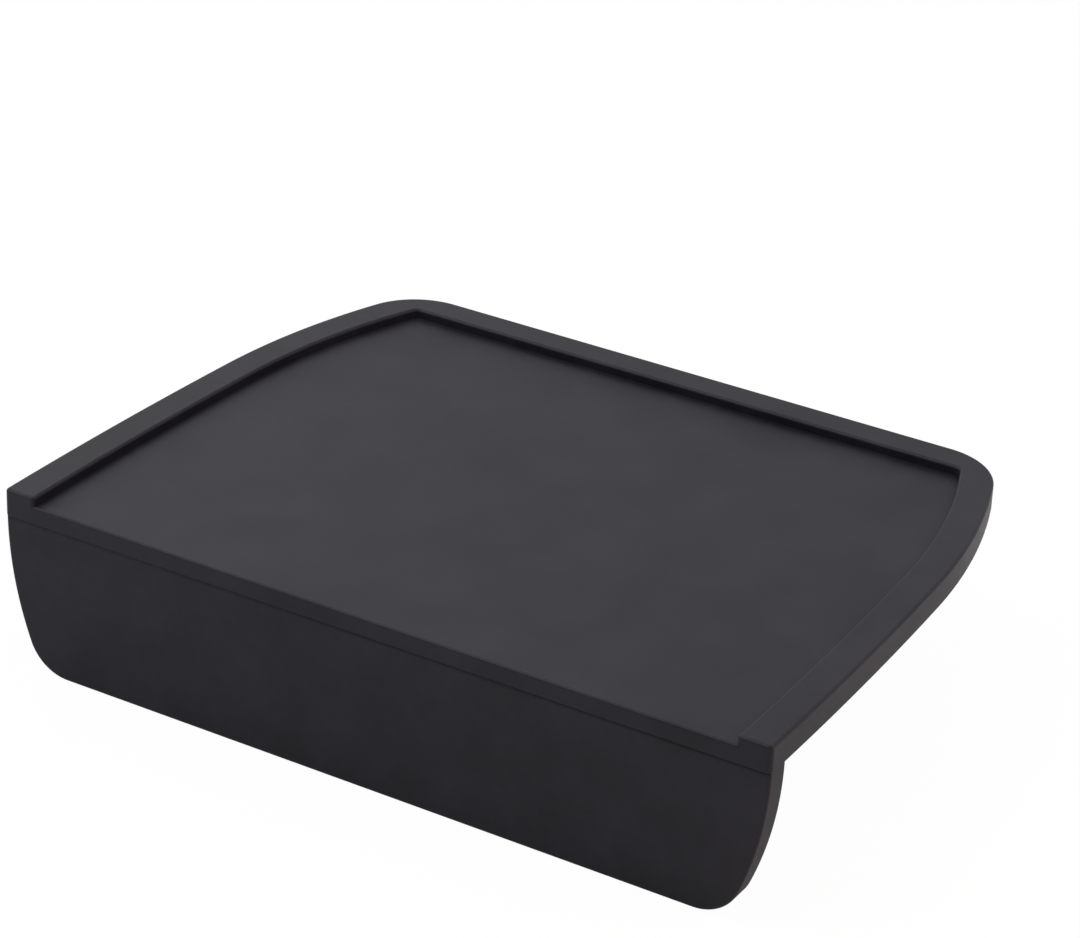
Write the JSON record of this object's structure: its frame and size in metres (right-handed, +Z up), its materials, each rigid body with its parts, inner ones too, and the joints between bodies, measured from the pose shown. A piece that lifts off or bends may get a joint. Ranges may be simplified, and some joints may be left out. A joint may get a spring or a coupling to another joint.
{
  "type": "tamper mat",
  "caption": "Black silicone corner mat for tamping coffee: a rimmed tray that lies on a worktop, open at the front, with an apron that hangs over the worktop's edge.",
  "frame": {"origin": "the inside corner under the plate and behind the apron, where the worktop's top front edge sits, at the middle of the mat's width", "axes": "+Z up out of the tray, +X to the right along the worktop's front edge, +Y from the apron back over the worktop"},
  "size_m": [0.205, 0.15, 0.047],
  "materials": {
    "silicone": "matte moulded black silicone with a soft sheen"
  },
  "bodies": {
    "root": {"tamper_mat": "silicone"}
  },
  "joints": []
}
